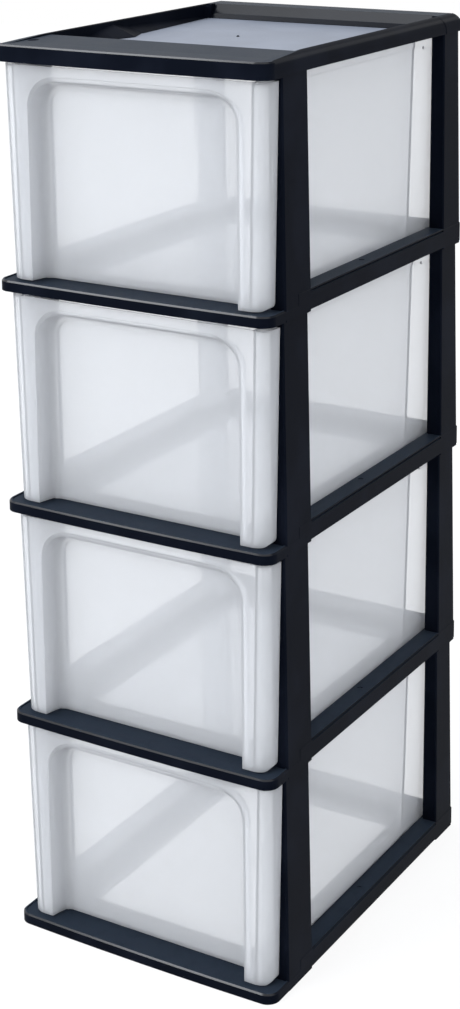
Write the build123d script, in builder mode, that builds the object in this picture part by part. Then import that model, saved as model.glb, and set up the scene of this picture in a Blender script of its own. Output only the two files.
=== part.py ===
"""Four-drawer plastic tower: stacked tier frames, a top cap with a let-in panel, and sliding drawers.

Millimetres, +Z up, front towards -Y. The origin is the middle of the footprint at floor level.
"""
import os

from build123d import *

os.makedirs("parts", exist_ok=True)

# Overall sizes
tiers = 4
pitch = 217.0
width = 293.2
depth = 392.0

# Frame moulding
wall = 2.4
plate = 2.4
lip_reach = 32.2
lip_bow = 2.3
lip_corner = 13.0
post_x = 16.6
front_post = 46.4
rear_post = 39.2
side_draft = 2.6
rear_draft = 3.95
window_draft = 2.0
post_edge = 1.2

# Heights on a tier, above its seam
lip_under = 0.5
rail_under = 1.9
bead_rise = 0.8
bead_width = 3.2
bead_edge = 1.4
shelf_top = 10.0
ledge_top = 21.0
ledge_plate = 3.6
slot_top = 1.0
slot_height = 1.8
slot_depth = 1.5
rail_edge = 0.8

# Ring-shaped shelf
rail_x = 17.6
rear_rail = 17.6
ring_side = 33.0
ring_front = 61.2
ring_rear = 44.3
ring_corner = 10.0
dimple_r = 3.0
dimple_sides = 6
dimple_depth = 0.6
dimple_in = 6.7

# Stacking spigots
spigot_height = 8.0
spigot_front = 30.0
spigot_rear = 20.0
spigot_x = 6.4
spigot_gap = 0.4
spigot_edge = 1.0
socket_rib = 12.0

# Top cap, heights above its seam
cap_lip_drop = 1.3
cap_strip_top = 13.6
cap_strip_rise = 1.0
cap_rim_top = 16.5
cap_rim_ramp = 65.0
cap_rim_edge = 1.0
cap_rim_foot = 2.2
cap_rim_round = 14.6
cap_rim_hollow = 8.6
cap_rear_edge = 1.2
cap_recess_side = 12.6
cap_recess_front = 80.5
cap_recess_rear = 32.3
cap_recess_corner = 6.0
cap_ledge = 10.0
cap_ledge_thick = 1.6
cap_step_height = 6.5
cap_step = 1.2
cap_lean = 2.6
cap_side_step = 0.4

# Swellings of the recess's side walls
swell_slope = 24.0
swell_rear = 2.4
swell_reach = 15.2
swell_y = 20.0
swell_end = -60.0
tab_rear = 56.0
tab_reach = 25.6
tab_y = -10.0
tab_front_reach = 18.0
tab_front_y = -36.0
tab_end = -75.0

# Let-in panel
panel_thick = 1.6
panel_gap = 0.5
panel_lift = 0.4

# Drawer
skin = 2.0
floor = 2.2
run_gap = 0.4
head_gap = 4.5
side_gap = 0.7
rear_gap = 0.9
rim_out = 1.8
rim_height = 6.5
box_draft = 4.0
box_rear_draft = 3.0
box_corner_x = 34.0
box_corner_y = 51.0
box_foot = 5.0
stop_length = 34.0
stop_drop = 3.2
front_set = 10.7
flange_gap = 1.5
flange_web = 0.6
front_inset = 5.1
front_draft = 5.0
front_lift = 0.6
front_corner = 15.0
front_foot_round = 6.0

# Arched grip recess in the drawer front
recess_depth = 20.5
recess_side = 31.5
recess_top = 14.5
recess_corner = 27.0
recess_draft = 14.5
recess_cove = 8.0
recess_bevel = 5.0
hood_depth = 3.5
hood_rise = 5.5
hood_side = 0.8

# Positions that follow from the sizes
half_w = width / 2
front_y = -depth / 2
rear_y = depth / 2
post_front = front_y + lip_reach
post_in = half_w - post_x
front_post_end = post_front + front_post
rear_post_start = rear_y - rear_post
rail_in = half_w - rail_x
rear_rail_in = rear_y - rear_rail
open_half = rail_in - ring_side
open_front = front_y + ring_front
open_rear = rear_y - ring_rear
mid_y = (front_y + rear_y) / 2
cap_z = tiers * pitch

drawer_bottom = shelf_top + bead_rise + run_gap
drawer_top = pitch - head_gap
rim_half = post_in - side_gap
box_top_half = rim_half - rim_out
box_foot_half = box_top_half - box_draft
rim_rear = rear_rail_in - rear_gap
box_top_rear = rim_rear - rim_out
box_foot_rear = box_top_rear - box_rear_draft
front_face = front_y + front_set
flange_rear = post_front - flange_gap
front_half = half_w - front_inset
foot_half = front_half - front_draft
front_bottom = drawer_bottom + front_lift
recess_half = front_half - recess_side
arch_top = drawer_top - recess_top


def shelf_outline(inset):
    """Plan of a shelf: bowed front lip with round corners, square at the rear."""
    side = half_w - inset
    ends = front_y + lip_bow + inset
    with BuildSketch(mode=Mode.PRIVATE) as plan:
        with BuildLine():
            Line((-side, rear_y - inset), (-side, ends))
            ThreePointArc((-side, ends), (0, front_y + inset), (side, ends))
            Line((side, ends), (side, rear_y - inset))
            Line((side, rear_y - inset), (-side, rear_y - inset))
        make_face()
        fillet(plan.vertices().group_by(Axis.Y)[0], radius=lip_corner - inset)
    return plan.sketch


def box_plan(x0, x1, y0, y1):
    """Rectangle between two corners."""
    with BuildSketch(mode=Mode.PRIVATE) as plan:
        with Locations(((x0 + x1) / 2, (y0 + y1) / 2)):
            Rectangle(x1 - x0, y1 - y0)
    return plan.sketch


def post_pair(inset, height):
    """Right-hand front and rear post, inset all round: drafted outside, at the rear and towards the window."""
    with BuildPart() as pair:
        with BuildSketch(Plane.YZ.offset(post_in + inset)):
            for foot_start, foot_end, head_start, head_end in (
                (post_front, front_post_end, post_front, front_post_end - window_draft),
                (rear_post_start, rear_y, rear_post_start + window_draft, rear_y - rear_draft),
            ):
                with BuildLine():
                    Polyline(
                        (foot_start + inset, 0),
                        (foot_end - inset, 0),
                        (head_end - inset, height),
                        (head_start + inset, height),
                        close=True,
                    )
                make_face()
        extrude(amount=post_x - 2 * inset)
        with BuildSketch(Plane.XZ):
            with BuildLine():
                Polyline(
                    (half_w - inset, 0),
                    (half_w - inset - side_draft, height),
                    (half_w - inset, height),
                    close=True,
                )
            make_face()
        extrude(amount=depth, both=True, mode=Mode.SUBTRACT)
    return pair.part


def spigot_span(front):
    """Start and end of a post's spigot along the depth."""
    if front:
        middle = post_front + (front_post - window_draft) / 2
        return middle - spigot_front / 2, middle + spigot_front / 2
    middle = rear_y - rear_draft - wall - spigot_rear / 2
    return middle - spigot_rear / 2, middle + spigot_rear / 2


spigot_out = half_w - side_draft - spigot_gap
spigot_in = spigot_out - spigot_x

# Corner posts, right-hand pair: drafted legs with a plug on each head, and the hollows inside them
with BuildPart() as posts:
    add(post_pair(0, pitch))
    chamfer(posts.edges().filter_by(lambda e: e.length > pitch - post_edge), length=post_edge)
    for is_front in (True, False):
        start, end = spigot_span(is_front)
        with BuildSketch(Plane.XY.offset(pitch)):
            add(box_plan(spigot_in, spigot_out, start, end))
        extrude(amount=spigot_height)
    chamfer(posts.faces().group_by(Axis.Z)[-1].edges(), length=spigot_edge)

with BuildPart() as post_hollows:
    add(post_pair(wall, pitch - plate))

# Ribs across a post's foot, either side of the plug that enters it
with BuildPart() as socket_ribs:
    for is_front in (True, False):
        start, end = spigot_span(is_front)
        for rib_y in (start - spigot_gap - wall / 2, end + spigot_gap + wall / 2):
            with BuildSketch():
                add(box_plan(post_in + wall / 2, half_w - wall / 2, rib_y - wall / 2, rib_y + wall / 2))
            extrude(amount=socket_rib)

# Tier frame: ring shelf with lip, rails and posts in one moulding
with BuildPart() as frame_form:
    with BuildSketch(Plane.XY.offset(lip_under)):
        add(shelf_outline(0))
    extrude(amount=shelf_top + bead_rise - lip_under)
    slab_edges = frame_form.faces().sort_by(Axis.Z)[-1].edges()
    chamfer(slab_edges.sort_by(Axis.Y)[:-1], length=bead_edge)
    with BuildSketch(Plane.XY.offset(shelf_top)):
        add(shelf_outline(bead_width))
    extrude(amount=bead_rise, mode=Mode.SUBTRACT)
    with BuildSketch(Plane.XY.offset(rail_under)):
        add(box_plan(-half_w, half_w, post_front + front_post / 2, rear_y))
        add(box_plan(-rail_in, rail_in, front_y, rear_rail_in), mode=Mode.SUBTRACT)
    extrude(amount=ledge_top - rail_under)
    rail_runs = frame_form.faces().group_by(Axis.Z)[-1].edges().filter_by(Axis.Y)
    chamfer(rail_runs.filter_by(lambda e: abs(e.center().X) > rail_in + wall), length=rail_edge)

    # Hollow underside
    with BuildSketch(Plane.XY.offset(lip_under)):
        add(shelf_outline(wall))
        add(
            box_plan(-open_half - wall, open_half + wall, open_front - wall, open_rear + wall),
            mode=Mode.SUBTRACT,
        )
    extrude(amount=shelf_top - plate - lip_under, mode=Mode.SUBTRACT)
    with BuildSketch(Plane.XY.offset(lip_under)):
        add(box_plan(-half_w - wall, half_w + wall, post_front, rear_y + wall))
    extrude(amount=rail_under - lip_under, mode=Mode.SUBTRACT)
    with BuildSketch(Plane.XY.offset(rail_under)):
        add(box_plan(-half_w + wall, half_w - wall, front_post_end, rear_y - wall))
        add(box_plan(-rail_in - wall, rail_in + wall, front_y, rear_rail_in + wall), mode=Mode.SUBTRACT)
    extrude(amount=ledge_top - ledge_plate - rail_under, mode=Mode.SUBTRACT)

    # Opening in the shelf
    with BuildSketch() as opening:
        add(box_plan(-open_half, open_half, open_front, open_rear))
        chamfer(opening.vertices(), length=ring_corner)
    extrude(amount=pitch / 2, mode=Mode.SUBTRACT)

    # Shadow slot under the rails' outer edge, and a dimple half-way along each ledge
    slot_z = ledge_top - slot_top - slot_height
    with BuildSketch(Plane.XY.offset(slot_z)):
        add(box_plan(-half_w, half_w, front_post_end, rear_post_start))
        add(box_plan(-half_w + slot_depth, half_w - slot_depth, front_y, rear_y), mode=Mode.SUBTRACT)
    extrude(amount=slot_height, mode=Mode.SUBTRACT)
    with BuildSketch(Plane.XY.offset(ledge_top)):
        with GridLocations(2 * (rail_in + dimple_in), 0, 2, 1):
            RegularPolygon(radius=dimple_r, side_count=dimple_sides)
    extrude(amount=-dimple_depth, mode=Mode.SUBTRACT)

    # Posts
    add(posts.part)
    mirror(posts.part, about=Plane.YZ)
    add(post_hollows.part, mode=Mode.SUBTRACT)
    mirror(post_hollows.part, about=Plane.YZ, mode=Mode.SUBTRACT)
    add(socket_ribs.part)
    mirror(socket_ribs.part, about=Plane.YZ)

for tier in range(tiers):
    with BuildPart() as tier_frame:
        with Locations((0, 0, tier * pitch)):
            add(frame_form.part)
    tier_frame.part.label = f"tier_frame_{tier + 1}"
    export_step(tier_frame.part, f"parts/tier_frame_{tier + 1}.step")

# Top cap
cap_recess_half = half_w - cap_recess_side
cap_recess_start = front_y + cap_recess_front
cap_recess_end = rear_y - cap_recess_rear
cap_recess_mid = (cap_recess_start + cap_recess_end) / 2
cap_recess_length = cap_recess_end - cap_recess_start
cap_rear_top = cap_recess_end + 2 * cap_lean + cap_step


def cap_recess(grow):
    """Plan of the cap's recess, grown or shrunk all round."""
    with BuildSketch(mode=Mode.PRIVATE) as plan:
        with Locations((0, cap_recess_mid)):
            RectangleRounded(
                2 * (cap_recess_half + grow), cap_recess_length + 2 * grow, cap_recess_corner + grow
            )
    return plan.sketch


block_front = front_post_end - window_draft
block_rear = rear_post_start + window_draft
rim_start = front_y + lip_bow + lip_corner


def rim_piece(inset, start, end):
    """Right-hand rim of the cap between two depths: a ridge over the recess, rounded down to the outside."""
    side = half_w - inset
    ridge = (cap_recess_half + cap_rim_edge, cap_z + cap_rim_top)
    with BuildPart() as piece:
        with BuildSketch(Plane.XZ.offset(-end)):
            with BuildLine():
                Polyline(
                    ridge,
                    (cap_recess_half, cap_z + cap_rim_top - cap_rim_edge),
                    (cap_recess_half, cap_z),
                    (side, cap_z),
                    (side, cap_z + cap_rim_foot),
                )
                RadiusArc((side, cap_z + cap_rim_foot), ridge, -cap_rim_round)
            make_face()
        extrude(amount=end - start)
    return piece.part


# Right-hand rim: its length between the corner blocks is set in, and it ramps down to the strip in front
with BuildPart() as cap_rim:
    add(rim_piece(0, rim_start, block_front))
    add(rim_piece(cap_side_step, block_front, block_rear))
    add(rim_piece(0, block_rear, rear_y))
    with BuildSketch(Plane.YZ.offset(cap_recess_half)):
        with BuildLine():
            Polyline(
                (rim_start, cap_z + cap_strip_top),
                (rim_start + cap_rim_ramp, cap_z + cap_rim_top),
                (rim_start, cap_z + cap_rim_top),
                close=True,
            )
        make_face()
    extrude(amount=cap_recess_side, mode=Mode.SUBTRACT)

with BuildPart() as cap_rear:
    with BuildSketch(Plane.XY.offset(cap_z)):
        add(box_plan(-cap_recess_half, cap_recess_half, cap_recess_end, rear_y))
    extrude(amount=cap_rim_top)
    rear_edge = cap_rear.faces().sort_by(Axis.Z)[-1].edges().sort_by(Axis.Y)[-1]
    chamfer(rear_edge, length=cap_rear_edge)


def swelling(points):
    """Lump on the recess wall: a foot on the panel between wall points, with faces that slope up to the wall."""
    foot = cap_z + panel_thick + panel_lift
    with BuildPart() as lump:
        with BuildSketch(Plane.XY.offset(foot)):
            with BuildLine():
                Polyline(*points, close=True)
            make_face()
        extrude(amount=cap_strip_top)
        for start, end in zip(points, points[1:]):
            along = Vector(*end) - Vector(*start)
            normal = Vector(0, 0, 1).rotate(Axis((0, 0, 0), along), -swell_slope)
            split(bisect_by=Plane(origin=(*start, foot), x_dir=along, z_dir=normal), keep=Keep.BOTTOM)
    return lump.part


# Right-hand swellings of the recess wall: a long low foot, and a tab half-way along
with BuildPart() as cap_swell:
    wall_x = cap_recess_half + wall / 2
    add(
        swelling(
            (
                (wall_x, swell_end),
                (cap_recess_half - swell_reach, swell_y),
                (cap_recess_half - swell_rear, cap_recess_end + cap_step),
                (wall_x, cap_recess_end + cap_step),
            )
        )
    )
    add(
        swelling(
            (
                (wall_x, tab_end),
                (cap_recess_half - tab_front_reach, tab_front_y),
                (cap_recess_half - tab_reach, tab_y),
                (wall_x, tab_rear),
            )
        )
    )

with BuildPart() as top_cap:
    with BuildSketch(Plane.XY.offset(cap_z - cap_lip_drop)):
        add(shelf_outline(0))
        add(box_plan(-half_w, half_w, post_front - flange_gap, rear_y), mode=Mode.SUBTRACT)
    extrude(amount=cap_lip_drop)
    with BuildSketch(Plane.XY.offset(cap_z)):
        add(shelf_outline(0))
    extrude(amount=cap_strip_top + bead_rise)
    slab_edges = top_cap.faces().sort_by(Axis.Z)[-1].edges()
    chamfer(slab_edges.sort_by(Axis.Y)[:-1], length=bead_edge)
    with BuildSketch(Plane.XY.offset(cap_z + cap_strip_top)):
        add(shelf_outline(bead_width))
        add(box_plan(-half_w, half_w, post_front, rear_y))
    extrude(amount=bead_rise, mode=Mode.SUBTRACT)

    # Strip rising to the recess, then the rims at the sides and the rear
    with BuildSketch(Plane.YZ):
        with BuildLine():
            Polyline(
                (post_front, cap_z + cap_strip_top),
                (cap_recess_start, cap_z + cap_strip_top),
                (cap_recess_start, cap_z + cap_strip_top + cap_strip_rise),
                close=True,
            )
        make_face()
    extrude(amount=cap_recess_half, both=True)
    with BuildSketch(Plane.XY.offset(cap_z)):
        add(box_plan(-half_w, half_w, rim_start, rear_y))
        add(box_plan(-cap_recess_half, cap_recess_half, front_y, rear_y), mode=Mode.SUBTRACT)
    extrude(amount=pitch, mode=Mode.SUBTRACT)
    add(cap_rim.part)
    mirror(cap_rim.part, about=Plane.YZ)
    add(cap_rear.part)

    # Hollow underside: low under the rounded rims, high under the strip and the rear rim
    with BuildSketch(Plane.XY.offset(cap_z - cap_lip_drop)):
        add(shelf_outline(wall))
    extrude(amount=cap_lip_drop + cap_rim_hollow, mode=Mode.SUBTRACT)
    for start, end, height in (
        (front_y, cap_recess_start, cap_strip_top),
        (cap_recess_end, rear_y, cap_rim_top),
    ):
        with BuildSketch(Plane.XY.offset(cap_z)):
            add(shelf_outline(wall))
            add(box_plan(-cap_recess_half, cap_recess_half, start, end), mode=Mode.INTERSECT)
        extrude(amount=height - plate, mode=Mode.SUBTRACT)

    # Recess with its wall and ledge
    with BuildSketch(Plane.XY.offset(cap_z - cap_ledge_thick)):
        add(cap_recess(wall))
        add(box_plan(-cap_recess_half, cap_recess_half, cap_recess_mid, cap_rear_top + wall))
    extrude(amount=cap_ledge_thick + cap_rim_top - plate)
    with BuildSketch(Plane.XY.offset(cap_z)):
        add(cap_recess(0))
    extrude(amount=pitch, mode=Mode.SUBTRACT)
    with BuildSketch(Plane.XY.offset(cap_z - cap_ledge_thick)):
        add(cap_recess(-cap_ledge / 2))
    extrude(amount=cap_ledge_thick, mode=Mode.SUBTRACT)

    # Ledge cleared round the rear post heads
    with BuildSketch(Plane.XY.offset(cap_z - cap_ledge_thick)):
        add(box_plan(-half_w, half_w, rear_post_start + window_draft - spigot_gap, rear_y - wall))
        add(box_plan(spigot_gap - post_in, post_in - spigot_gap, front_y, rear_y), mode=Mode.SUBTRACT)
    extrude(amount=cap_ledge_thick, mode=Mode.SUBTRACT)

    # Rear wall of the recess: two leaning bands with a step between them
    with BuildSketch(Plane.YZ):
        with BuildLine():
            Polyline(
                (cap_recess_mid, cap_z + panel_thick + panel_lift),
                (cap_recess_end, cap_z + panel_thick + panel_lift),
                (cap_recess_end + cap_lean, cap_z + cap_step_height),
                (cap_recess_end + cap_lean + cap_step, cap_z + cap_step_height),
                (cap_rear_top, cap_z + cap_rim_top),
                (cap_recess_mid, cap_z + cap_rim_top),
                close=True,
            )
        make_face()
    extrude(amount=cap_recess_half - cap_recess_corner, both=True, mode=Mode.SUBTRACT)

    # Swellings of the side walls that hold the panel down
    add(cap_swell.part)
    mirror(cap_swell.part, about=Plane.YZ)
top_cap.part.label = "top_cap"
export_step(top_cap.part, "parts/top_cap.step")

# Let-in panel
with BuildPart() as top_panel:
    with BuildSketch(Plane.XY.offset(cap_z)):
        add(cap_recess(-panel_gap))
    extrude(amount=panel_thick)
top_panel.part.label = "top_panel"
export_step(top_panel.part, "parts/top_panel.step")

# Drawer forms, on the lowest tier
front_view = Plane(origin=(0, front_face, 0), x_dir=(1, 0, 0), z_dir=(0, -1, 0))


def cut_plan(half, start, rear):
    """Plan of the drawer's inside with its rear corners cut off."""
    with BuildSketch(mode=Mode.PRIVATE) as plan:
        with BuildLine():
            Polyline(
                (-half, start),
                (half, start),
                (half, rear - box_corner_y),
                (half - box_corner_x, rear),
                (box_corner_x - half, rear),
                (-half, rear - box_corner_y),
                close=True,
            )
        make_face()
    return plan.sketch


def box_form(inset, base, start, cut):
    """Drafted drawer box, inset all round, from base to the drawer's top."""
    with BuildPart() as box:
        for height, half, rear in (
            (base, box_foot_half, box_foot_rear),
            (drawer_top, box_top_half, box_top_rear),
        ):
            with BuildSketch(Plane.XY.offset(height)):
                if cut:
                    add(cut_plan(half - inset, start, rear - inset))
                else:
                    add(box_plan(inset - half, half - inset, start, rear - inset))
        loft(ruled=True)
        foot_edges = box.faces().sort_by(Axis.Z)[0].edges()
        chamfer(foot_edges.filter_by(lambda e: e.center().Y > start + skin), length=box_foot - inset)
    return box.part


def front_form(inset, rear):
    """Front block with round corners; its side flanges taper downwards."""
    with BuildPart() as block:
        with BuildSketch(front_view.offset(-inset)):
            with BuildLine():
                Polyline(
                    (inset - foot_half, front_bottom + inset),
                    (foot_half - inset, front_bottom + inset),
                    (front_half - inset, drawer_top - inset),
                    (inset - front_half, drawer_top - inset),
                    close=True,
                )
            make_face()
        extrude(amount=front_face + inset - rear)
        front_edges = block.faces().sort_by(Axis.Y)[0].edges().filter_by(Axis.X, reverse=True)
        fillet(front_edges, radius=front_corner - inset)
    return block.part


def arch(half, top, corner):
    """Front view of the grip recess at one depth: round corners, with a foot well below the drawer."""
    with BuildSketch(mode=Mode.PRIVATE) as plan:
        with Locations((0, (top - pitch / 4) / 2)):
            RectangleRounded(2 * half, top + pitch / 4, corner)
    return plan.sketch


def recess_form(grow):
    """Grip recess as a tool: a bevelled hood at the mouth, then drafted sides that cove into the back."""
    mouth = grow / 2
    throat = mouth + hood_depth
    with BuildPart() as tool:
        for inward, half, top, corner in (
            (mouth, recess_half + hood_side, arch_top + hood_rise, recess_corner + hood_rise / 2),
            (throat, recess_half, arch_top, recess_corner),
        ):
            with BuildSketch(front_view.offset(-inward)):
                add(arch(half + grow, top + grow, corner + grow))
        loft(ruled=True)
        with BuildSketch(front_view.offset(-throat)):
            add(arch(recess_half + grow, arch_top + grow, recess_corner + grow))
        extrude(amount=throat - recess_depth - grow, taper=recess_draft)
        back_edges = tool.faces().sort_by(Axis.Y)[-1].edges()
        if grow:
            chamfer(back_edges, length=recess_bevel)
        else:
            fillet(back_edges, radius=recess_cove)
    return tool.part


with BuildPart() as cavity:
    add(box_form(skin, drawer_bottom + floor, front_face + skin, True))
    add(recess_form(skin), mode=Mode.SUBTRACT)

# Hollow behind each side flange, open to the rear
with BuildPart() as flange_hollows:
    add(front_form(skin, flange_rear + skin))
    add(box_form(-flange_web, drawer_bottom, front_face, False), mode=Mode.SUBTRACT)

# Pockets behind the cut rear corners, open to the rear; the sides run on past them as fins
with BuildPart() as corner_pockets:
    for height, half, rear in (
        (drawer_bottom, box_foot_half, box_foot_rear),
        (drawer_top, box_top_half, box_top_rear),
    ):
        with BuildSketch(Plane.XY.offset(height)):
            with BuildLine():
                Polyline(
                    (half - box_corner_x, rear),
                    (half - box_corner_x, rear_y),
                    (half - skin, rear_y),
                    (half - skin, rear - box_corner_y * (1 - skin / box_corner_x)),
                    close=True,
                )
            make_face()
    loft(ruled=True)
    mirror(about=Plane.YZ)

with BuildPart() as drawer_form:
    add(front_form(0, flange_rear))
    with BuildSketch(front_view) as outline:
        with BuildLine():
            Polyline(
                (-foot_half, front_bottom),
                (foot_half, front_bottom),
                (front_half, drawer_top),
                (-front_half, drawer_top),
                close=True,
            )
        make_face()
        fillet(outline.vertices().group_by(Axis.Y)[0], radius=front_foot_round)
    extrude(amount=-depth / 2, mode=Mode.INTERSECT)
    add(box_form(0, drawer_bottom, flange_rear - skin, False))
    with BuildSketch(Plane.XY.offset(drawer_top - rim_height)):
        add(box_plan(-rim_half, rim_half, flange_rear - skin, rim_rear))
    extrude(amount=rim_height)
    with BuildSketch(Plane.XY.offset(drawer_top - rim_height - stop_drop)):
        add(box_plan(-rim_half, rim_half, rim_rear - stop_length, box_foot_rear))
    extrude(amount=stop_drop)
    add(recess_form(0), mode=Mode.SUBTRACT)
    add(cavity.part, mode=Mode.SUBTRACT)
    add(corner_pockets.part, mode=Mode.SUBTRACT)
    add(flange_hollows.part, mode=Mode.SUBTRACT)

for tier in range(tiers):
    with BuildPart() as drawer:
        with Locations((0, 0, tier * pitch)):
            add(drawer_form.part)
    drawer.part.label = f"drawer_{tier + 1}"
    export_step(drawer.part, f"parts/drawer_{tier + 1}.step")
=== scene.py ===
"""Looks of the four-drawer tower: finishes for the moulded pieces, small moulding marks, and the studio."""

import bpy
import numpy as np
from bpy.props import FloatProperty, FloatVectorProperty, PointerProperty
from mathutils import Matrix, Vector


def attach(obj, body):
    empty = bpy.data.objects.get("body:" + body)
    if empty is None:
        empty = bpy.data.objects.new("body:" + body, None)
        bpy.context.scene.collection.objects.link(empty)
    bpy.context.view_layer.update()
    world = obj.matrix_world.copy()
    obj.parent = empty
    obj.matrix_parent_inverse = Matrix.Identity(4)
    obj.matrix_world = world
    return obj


bl_info = {
    "name": "Drawer Tower Looks",
    "version": (1, 0, 0),
    "blender": (4, 5, 0),
    "location": "View3D > Sidebar > Drawer Tower",
    "description": "Finishes, moulding marks and studio for a stacked drawer tower",
    "category": "Object",
}

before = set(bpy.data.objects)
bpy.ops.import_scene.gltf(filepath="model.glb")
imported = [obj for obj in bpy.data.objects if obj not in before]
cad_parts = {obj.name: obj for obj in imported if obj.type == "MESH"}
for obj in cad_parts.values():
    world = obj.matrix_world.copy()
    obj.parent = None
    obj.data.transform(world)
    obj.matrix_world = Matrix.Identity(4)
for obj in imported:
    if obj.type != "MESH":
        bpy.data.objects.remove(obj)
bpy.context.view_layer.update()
TIERS = sorted(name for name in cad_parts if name.startswith("tier_frame_"))
DRAWERS = sorted(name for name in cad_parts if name.startswith("drawer_"))

WHITE = (1.0, 1.0, 1.0, 1.0)
COOL_SHEEN = (0.75, 0.87, 1.0, 1.0)
PLASTIC_IOR = 1.49

# Moulding marks: x and y of the middle, half width and half length, and height, in metres.
GATE = (-0.021, 0.039)
GATE_HALF = (0.0016, 0.0016)
GATE_RISE = 0.0018
DIMPLE = (-0.127, -0.151)
DIMPLE_HALF = (0.005, 0.006)
DIMPLE_RISE = 0.0003
MARK_RINGS, MARK_SIDES = 8, 32
PIT_DEPTH, PIT_RADIUS = 0.6, 0.3  # shares of a mark's height and radius

# Studio: places and sizes in metres. The share of plain white leaves the shadow on the floor.
FLOOR_HALF = 6.0
FLOOR_WHITE = 0.86
KEY_PLACE, KEY_TARGET, KEY_SIZE = (-1.55, -0.8, 3.0), (0.0, -0.1, 0.6), 0.95
FRONT_PLACE, FRONT_TARGET, FRONT_SIZE = (-1.3, -2.75, 2.2), (0.0, 0.0, 0.5), 1.6

# Camera: focal length and the row of the optical axis, in pixels of a picture 1009 rows high.
PICTURE_ROWS = 1009.0
FOCAL_ROWS = 2007.1
AXIS_ROW = 220.0
SENSOR = 36.0
CAMERA_PLACE = (0.9813, -1.6342, 1.1103)
CAMERA_AHEAD = (-0.5063, 0.8358, -0.2122)
CAMERA_RIGHT = (0.8564, 0.5162, -0.0101)


class Wire:
    """A socket that is written as a number: arithmetic on it adds Math nodes."""

    def __init__(self, finish, socket):
        self.finish = finish
        self.socket = socket

    def maths(self, operation, *values):
        return self.finish.node("ShaderNodeMath", {"operation": operation}, dict(enumerate(values)))

    def __add__(self, other):
        return self.maths("ADD", self, other)

    def __sub__(self, other):
        return self.maths("SUBTRACT", self, other)

    def __rsub__(self, other):
        return self.maths("SUBTRACT", other, self)

    def __mul__(self, other):
        return self.maths("MULTIPLY", self, other)

    def __pow__(self, other):
        return self.maths("POWER", self, other)

    __radd__ = __add__
    __rmul__ = __mul__

    def ramp(self, low, high):
        """0 below low, 1 above high, smooth between."""
        values = {"Value": self, "From Min": low, "From Max": high}
        return self.finish.node("ShaderNodeMapRange", {"interpolation_type": "SMOOTHSTEP"}, values)


class Finish:
    """The nodes of a material or of the world, under construction."""

    def __init__(self, owner):
        owner.use_nodes = True
        self.owner = owner
        self.tree = owner.node_tree
        self.tree.nodes.clear()

    def node(self, kind, settings, values, output=0):
        """Adds a node, makes its settings, then sets or links its sockets; gives one output."""
        made = self.tree.nodes.new(kind)
        for key, value in settings.items():
            setattr(made, key, value)
        for key, value in values.items():
            if isinstance(value, Wire):
                self.tree.links.new(value.socket, made.inputs[key])
            else:
                made.inputs[key].default_value = value
        return Wire(self, made.outputs[output])

    def place(self):
        """Position on the object, in metres."""
        return self.node("ShaderNodeTexCoord", {}, {}, "Object")

    def part(self, vector, axis):
        """One component of a vector."""
        return self.node("ShaderNodeSeparateXYZ", {}, {"Vector": vector}, axis)

    def noise(self, size, detail=2.0, roughness=0.5):
        """Noise whose features are about size metres across, about 0.5 on average."""
        values = {"Vector": self.place(), "Scale": 1.0 / size, "Detail": detail, "Roughness": roughness}
        return self.node("ShaderNodeTexNoise", {}, values, "Fac")

    def backdrop_rays(self):
        """1 for rays from the camera and for their reflections and see-through rays, else 0."""
        names = ("Is Camera Ray", "Is Glossy Ray", "Is Transmission Ray")
        camera, glossy, through = (self.node("ShaderNodeLightPath", {}, {}, name) for name in names)
        return camera.maths("MAXIMUM", camera.maths("MAXIMUM", camera, glossy), through)

    def blend(self, share, first, second):
        """Colour between first and second."""
        values = {"Factor": share, 6: first, 7: second}
        return self.node("ShaderNodeMix", {"data_type": "RGBA"}, values, 2)

    def mix(self, share, first, second):
        """Shader between first and second."""
        return self.node("ShaderNodeMixShader", {}, {0: share, 1: first, 2: second})

    def bump(self, height, depth):
        """Normal of a relief whose full height is depth metres."""
        return self.node("ShaderNodeBump", {}, {"Height": height, "Distance": depth, "Strength": 1.0})

    def close(self, surface, kind="ShaderNodeOutputMaterial"):
        """Links the surface to the output; gives the finished material or world."""
        out = self.tree.nodes.new(kind)
        self.tree.links.new(surface.socket, out.inputs["Surface"])
        return self.owner


def new_finish(name):
    """Starts a material."""
    return Finish(bpy.data.materials.new(name))


def opaque(colour):
    """A colour with full alpha, as colour sockets take it."""
    return (*colour, 1.0)


def shade(colour, factor, lift=0.0):
    """A lighter or darker colour, held at white."""
    return tuple(min(1.0, part * factor + lift) for part in colour)


def wear(node, material):
    """Gives a CAD node one material."""
    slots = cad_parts[node].data.materials
    slots.clear()
    slots.append(material)


def new_object(name, points, faces, material):
    """An object at the origin, with its place in its mesh."""
    mesh = bpy.data.meshes.new(name)
    mesh.from_pydata(points, [], faces)
    mesh.materials.append(material)
    made = bpy.data.objects.new(name, mesh)
    bpy.context.scene.collection.objects.link(made)
    return made


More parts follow.
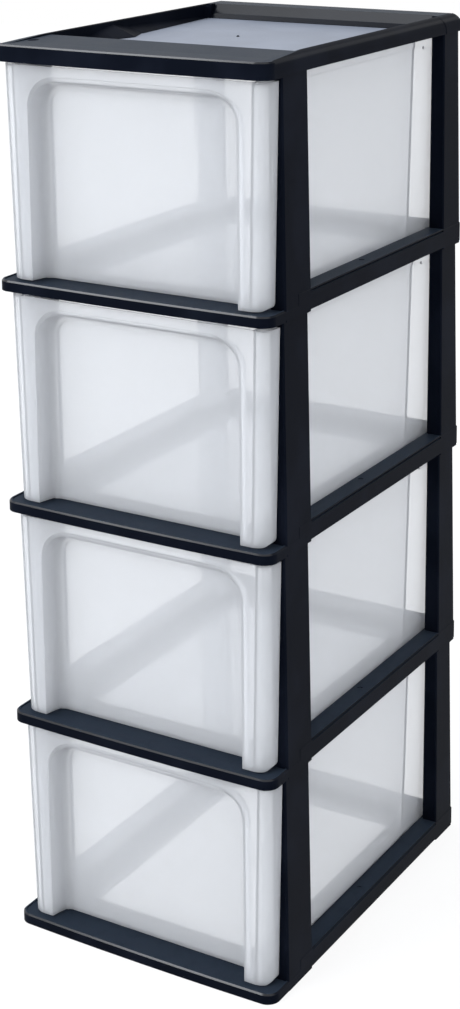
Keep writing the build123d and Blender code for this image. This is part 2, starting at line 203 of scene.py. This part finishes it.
class TowerFinishes(bpy.types.PropertyGroup):
    """Colours and gloss of the three plastics."""

    black: FloatVectorProperty(
        name="Frame black", description="Colour of the frame mouldings", subtype="COLOR", size=3,
        min=0.0, max=1.0, default=(0.0024, 0.0034, 0.0066))
    # Painted sheen: a lighter, bluer colour laid on the frame faces that look up, in place of their
    # reflection.
    top_sheen: FloatVectorProperty(
        name="Painted top sheen", description="Colour of the upper faces, dulled by a film of dust", subtype="COLOR",
        size=3, min=0.0, max=1.0, default=(0.018, 0.025, 0.037))
    black_gloss: FloatProperty(
        name="Frame roughness", description="Roughness of the frame mouldings", subtype="FACTOR",
        min=0.0, max=1.0, default=0.38)
    milk: FloatVectorProperty(
        name="Drawer milk", description="Colour of the drawer plastic", subtype="COLOR", size=3,
        min=0.0, max=1.0, default=(0.95, 0.966, 0.996))
    milk_gloss: FloatProperty(
        name="Drawer roughness", description="Roughness of the drawer plastic", subtype="FACTOR",
        min=0.0, max=1.0, default=0.36)
    milk_cover: FloatProperty(
        name="Drawer haze", description="How much one face of a drawer wall hides what is behind it",
        subtype="FACTOR", min=0.0, max=1.0, default=0.41)
    milk_glow: FloatProperty(
        name="Drawer glow", description="Share of light that a drawer wall scatters through",
        subtype="FACTOR", min=0.0, max=1.0, default=0.5)
    panel: FloatVectorProperty(
        name="Panel gray", description="Colour of the let-in panel", subtype="COLOR", size=3,
        min=0.0, max=1.0, default=(0.18, 0.2, 0.245))


class TowerStage(bpy.types.PropertyGroup):
    """Studio light and floor."""

    key: FloatProperty(
        name="Key light", description="Power of the overhead soft box", subtype="POWER", default=18.0)
    fill: FloatProperty(
        name="Fill light", description="Power of the front light", subtype="POWER", default=66.0)
    world: FloatProperty(
        name="Surround", description="Strength of the white surround", default=1.38)
    tint: FloatVectorProperty(
        name="Light colour", description="Cool daylight of the lamps and the surround", subtype="COLOR",
        size=3, min=0.0, max=1.0, default=(0.935, 0.962, 1.0))
    floor: FloatVectorProperty(
        name="Floor", description="Colour of the floor", subtype="COLOR", size=3, min=0.0, max=1.0,
        default=(0.93, 0.93, 0.94))


class OBJECT_OT_tower_frames(bpy.types.Operator):
    """Dresses the tier frames and the top cap in black satin plastic"""

    bl_idname = "object.tower_frames"
    bl_label = "Frame Finish"

    def execute(self, context):
        look = context.scene.tower_finishes
        make = new_finish("black_satin_plastic")
        grain = make.noise(0.0007, 3.0, 0.6)
        cloud = make.noise(0.06, 3.0)
        top_sheen = make.noise(0.012, 4.0, 0.65)
        facing = make.node("ShaderNodeNewGeometry", {}, {}, "Normal")
        upward = make.part(facing, "Z")
        forward = 0 - make.part(facing, "Y")
        # Slight clouding, under a painted sheen on the faces that look up: a lighter, bluer colour, patchy
        # by noise, that stands in for their reflection.
        worn = shade(look.black, 1.9, 0.002)
        bare = make.blend(cloud.ramp(0.42, 0.72) * 0.5, opaque(look.black), opaque(worn))
        top_sheen_share = upward.ramp(0.93, 0.99) * (0.55 + 0.9 * top_sheen)
        colour = make.blend(top_sheen_share, bare, opaque(look.top_sheen))
        rough = look.black_gloss - 0.05 + cloud * 0.08 + top_sheen * 0.06
        # Polish on the upper edges, most at the front, and on the leaning rear wall of the cap.
        sloping = upward.ramp(0.56, 0.66) * (1 - upward.ramp(0.74, 0.86))
        edge = sloping * (0.15 + 0.85 * forward.ramp(0.25, 0.5))
        leaning = upward.ramp(0.15, 0.22) * (1 - upward.ramp(0.5, 0.58)) * forward.ramp(0.75, 0.86)
        polish = edge * 0.88 + leaning * 0.24
        surface = make.node("ShaderNodeBsdfPrincipled", {}, {
            "Base Color": colour, "Roughness": rough, "Normal": make.bump(grain, 0.00006),
            "IOR": PLASTIC_IOR, "Specular IOR Level": 0.015, "Specular Tint": COOL_SHEEN,
            "Coat Weight": polish, "Coat Roughness": 0.2, "Coat IOR": 1.5})
        material = make.close(surface)
        for node in TIERS + ["top_cap"]:
            wear(node, material)
        return {"FINISHED"}


class OBJECT_OT_tower_drawers(bpy.types.Operator):
    """Dresses the drawers in milky translucent plastic"""

    bl_idname = "object.tower_drawers"
    bl_label = "Drawer Finish"

    def execute(self, context):
        look = context.scene.tower_finishes
        make = new_finish("milky_translucent_plastic")
        grain = make.noise(0.0011, 3.0, 0.6)
        cloud = make.noise(0.09, 3.0)
        deep = shade(look.milk, 0.985)
        colour = make.blend(cloud.ramp(0.35, 0.7), opaque(look.milk), opaque(deep))
        rough = look.milk_gloss - 0.03 + cloud * 0.06
        # Scatter at the surface and through the wall, then a slightly rough see-through share.
        body = make.node("ShaderNodeBsdfPrincipled", {}, {
            "Base Color": colour, "Roughness": rough, "Normal": make.bump(grain, 0.00004),
            "IOR": PLASTIC_IOR})
        glow = make.node("ShaderNodeBsdfTranslucent", {}, {"Color": opaque(look.milk)})
        haze = make.mix(look.milk_glow, body, glow)
        clear = make.node("ShaderNodeBsdfRefraction", {}, {"Color": WHITE, "Roughness": 0.04, "IOR": 1.25})
        material = make.close(make.mix(look.milk_cover, clear, haze))
        for node in DRAWERS:
            wear(node, material)
        return {"FINISHED"}


class OBJECT_OT_tower_panel(bpy.types.Operator):
    """Dresses the let-in panel"""

    bl_idname = "object.tower_panel"
    bl_label = "Panel Finish"

    def execute(self, context):
        look = context.scene.tower_finishes
        make = new_finish("gray_translucent_panel")
        grain = make.noise(0.0012, 3.0, 0.6)
        cloud = make.noise(0.05, 3.0)
        # Flow marks: streaks of noise over the angle round the gate, fading with the distance from it.
        place = make.place()
        across = make.part(place, "X") - GATE[0]
        along = make.part(place, "Y") - GATE[1]
        reach = (across * across + along * along) ** 0.5
        turn = across.maths("ARCTAN2", along, across)
        ray = make.node("ShaderNodeCombineXYZ", {}, {"X": turn * 6.0, "Y": reach * 30.0})
        streak = make.node("ShaderNodeTexNoise", {}, {"Vector": ray, "Scale": 1.0, "Detail": 3.0}, "Fac")
        flow = streak.ramp(0.5, 0.75) * (1 - reach.ramp(0.004, 0.045))
        pale = shade(look.panel, 1.12)
        plain = make.blend(cloud.ramp(0.35, 0.7), opaque(look.panel), opaque(pale))
        colour = make.blend(flow * 0.4, plain, opaque(shade(look.panel, 0.7)))
        surface = make.node("ShaderNodeBsdfPrincipled", {}, {
            "Base Color": colour, "Roughness": 0.45 + cloud * 0.08, "Normal": make.bump(grain, 0.00005),
            "IOR": PLASTIC_IOR, "Specular IOR Level": 0.2})
        wear("top_panel", make.close(surface))
        return {"FINISHED"}


class OBJECT_OT_tower_marks(bpy.types.Operator):
    """Adds the gate mark of the panel and the dimple of the cap's front strip"""

    bl_idname = "object.tower_marks"
    bl_label = "Moulding Marks"

    def execute(self, context):
        make = new_finish("dark_moulding_mark")
        pits = make.noise(0.0006, 3.0)
        colour = make.blend(pits.ramp(0.35, 0.65), (0.006, 0.007, 0.010, 1.0), (0.02, 0.022, 0.028, 1.0))
        surface = make.node("ShaderNodeBsdfPrincipled", {}, {
            "Base Color": colour, "Roughness": 0.3 + pits * 0.2, "Normal": make.bump(pits, 0.00003),
            "Specular IOR Level": 0.0})
        material = make.close(surface)
        self.mark("panel_gate_mark", "top_panel", GATE, GATE_HALF, GATE_RISE, "gray_panel", material)
        self.mark("strip_dimple", "top_cap", DIMPLE, DIMPLE_HALF, DIMPLE_RISE, "black_plastic", material)
        return {"FINISHED"}

    def mark(self, name, node, centre, half, rise, slot, material):
        """An oval boss on the plane that touches the node at centre, with a pit in the middle.

        Its height above that plane is rise times the cosine of the radius, which goes from 0 to a
        right angle, less a bell curve for the pit.
        """
        hit, spot, normal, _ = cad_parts[node].ray_cast((*centre, 1.0), (0.0, 0.0, -1.0))
        if not hit:
            raise RuntimeError(f"{name} is not over {node}")
        share = np.linspace(0.0, 1.0, MARK_RINGS + 1)[1:, None]
        turn = np.linspace(0.0, 2.0 * np.pi, MARK_SIDES, endpoint=False)[None, :]
        height = rise * (np.cos(share * np.pi / 2) - PIT_DEPTH * np.exp(-((share / PIT_RADIUS) ** 2)))
        across = half[0] * share * np.cos(turn)
        along = half[1] * share * np.sin(turn)
        plane = spot.z - (normal.x * across + normal.y * along) / normal.z
        grid = np.stack([centre[0] + across, centre[1] + along, plane + height], axis=-1).reshape(-1, 3)
        middle = np.array([[centre[0], centre[1], spot.z + (1.0 - PIT_DEPTH) * rise]])
        points = np.concatenate([middle, grid])
        cell = np.arange((MARK_RINGS - 1) * MARK_SIDES)
        beside = cell // MARK_SIDES * MARK_SIDES + (cell + 1) % MARK_SIDES
        quads = np.stack([cell, cell + MARK_SIDES, beside + MARK_SIDES, beside], axis=-1) + 1
        fan = np.arange(MARK_SIDES)
        tips = np.stack([np.zeros_like(fan), fan + 1, (fan + 1) % MARK_SIDES + 1], axis=-1)
        piece = new_object(name, points.tolist(), tips.tolist() + quads.tolist(), material)
        piece.data.shade_smooth()
        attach(piece, "cabinet")


class OBJECT_OT_tower_stage(bpy.types.Operator):
    """Sets the floor, the soft lights and the camera"""

    bl_idname = "object.tower_stage"
    bl_label = "Studio"

    def execute(self, context):
        stage = context.scene.tower_stage
        self.floor(stage)
        self.world(context.scene, stage)
        self.lamp(stage, "key_light", KEY_PLACE, KEY_TARGET, KEY_SIZE, stage.key)
        self.lamp(stage, "front_light", FRONT_PLACE, FRONT_TARGET, FRONT_SIZE, stage.fill)
        self.camera(context.scene)
        context.scene.view_settings.view_transform = "Standard"
        # Light crosses many milky walls before it leaves the drawers.
        bounces = context.scene.cycles
        bounces.max_bounces = 32
        bounces.diffuse_bounces = 16
        bounces.transmission_bounces = 32
        return {"FINISHED"}

    def floor(self, stage):
        """A pale square that shows as nearly white and keeps the shadow."""
        make = new_finish("pale_floor")
        body = make.node("ShaderNodeBsdfPrincipled", {}, {
            "Base Color": opaque(stage.floor), "Roughness": 0.9, "Specular IOR Level": 0.1})
        white = make.node("ShaderNodeEmission", {}, {"Color": WHITE, "Strength": 1.0})
        material = make.close(make.mix(make.backdrop_rays() * FLOOR_WHITE, body, white))
        low, high = -FLOOR_HALF, FLOOR_HALF
        corners = [(low, low, 0.0), (high, low, 0.0), (high, high, 0.0), (low, high, 0.0)]
        obj = new_object("studio_floor", corners, [(0, 1, 2, 3)], material)

    def world(self, scene, stage):
        """A cool surround that lights the tower, and shows as white."""
        scene.world = bpy.data.worlds.new("white_surround")
        make = Finish(scene.world)
        lit = make.node("ShaderNodeBackground", {}, {"Color": opaque(stage.tint), "Strength": stage.world})
        white = make.node("ShaderNodeBackground", {}, {"Color": WHITE, "Strength": 1.0})
        make.close(make.mix(make.backdrop_rays(), lit, white), "ShaderNodeOutputWorld")

    def lamp(self, stage, name, place, target, size, power):
        """A square soft box at place, turned to target."""
        data = bpy.data.lights.new(name, "AREA")
        data.shape = "SQUARE"
        data.size = size
        data.energy = power
        data.color = stage.tint
        obj = bpy.data.objects.new(name, data)
        aim = Vector(target) - Vector(place)
        obj.matrix_world = Matrix.Translation(place) @ aim.to_track_quat("-Z", "Y").to_matrix().to_4x4()
        bpy.context.scene.collection.objects.link(obj)

    def camera(self, scene):
        """The camera of the photograph."""
        data = bpy.data.cameras.new("photo_camera")
        data.sensor_fit = "VERTICAL"
        data.sensor_height = SENSOR
        data.lens = FOCAL_ROWS * SENSOR / PICTURE_ROWS
        data.shift_y = (AXIS_ROW - PICTURE_ROWS / 2) / PICTURE_ROWS
        data.clip_end = 50.0
        ahead = Vector(CAMERA_AHEAD).normalized()
        right = Vector(CAMERA_RIGHT).normalized()
        up = right.cross(ahead).normalized()
        turn = Matrix((right, up, -ahead)).transposed().to_4x4()
        obj = bpy.data.objects.new("photo_camera", data)
        obj.matrix_world = Matrix.Translation(CAMERA_PLACE) @ turn
        scene.collection.objects.link(obj)
        scene.camera = obj


class VIEW3D_PT_tower(bpy.types.Panel):
    """Finishes and studio of the drawer tower"""

    bl_label = "Drawer Tower"
    bl_idname = "VIEW3D_PT_tower"
    bl_space_type = "VIEW_3D"
    bl_region_type = "UI"
    bl_category = "Drawer Tower"

    def draw(self, context):
        for group in (context.scene.tower_finishes, context.scene.tower_stage):
            for key in group.__annotations__:
                self.layout.prop(group, key)
        for step in STEPS:
            self.layout.operator(step.bl_idname)


GROUPS = (TowerFinishes, TowerStage)
STEPS = (
    OBJECT_OT_tower_frames, OBJECT_OT_tower_drawers, OBJECT_OT_tower_panel, OBJECT_OT_tower_marks,
    OBJECT_OT_tower_stage)


def register():
    for kind in GROUPS + STEPS + (VIEW3D_PT_tower,):
        bpy.utils.register_class(kind)
    bpy.types.Scene.tower_finishes = PointerProperty(type=TowerFinishes)
    bpy.types.Scene.tower_stage = PointerProperty(type=TowerStage)


def unregister():
    del bpy.types.Scene.tower_stage
    del bpy.types.Scene.tower_finishes
    for kind in reversed(GROUPS + STEPS + (VIEW3D_PT_tower,)):
        bpy.utils.unregister_class(kind)


def main():
    register()
    bpy.ops.object.tower_frames()
    bpy.ops.object.tower_drawers()
    bpy.ops.object.tower_panel()
    bpy.ops.object.tower_marks()
    bpy.ops.object.tower_stage()


if __name__ == "__main__":
    main()
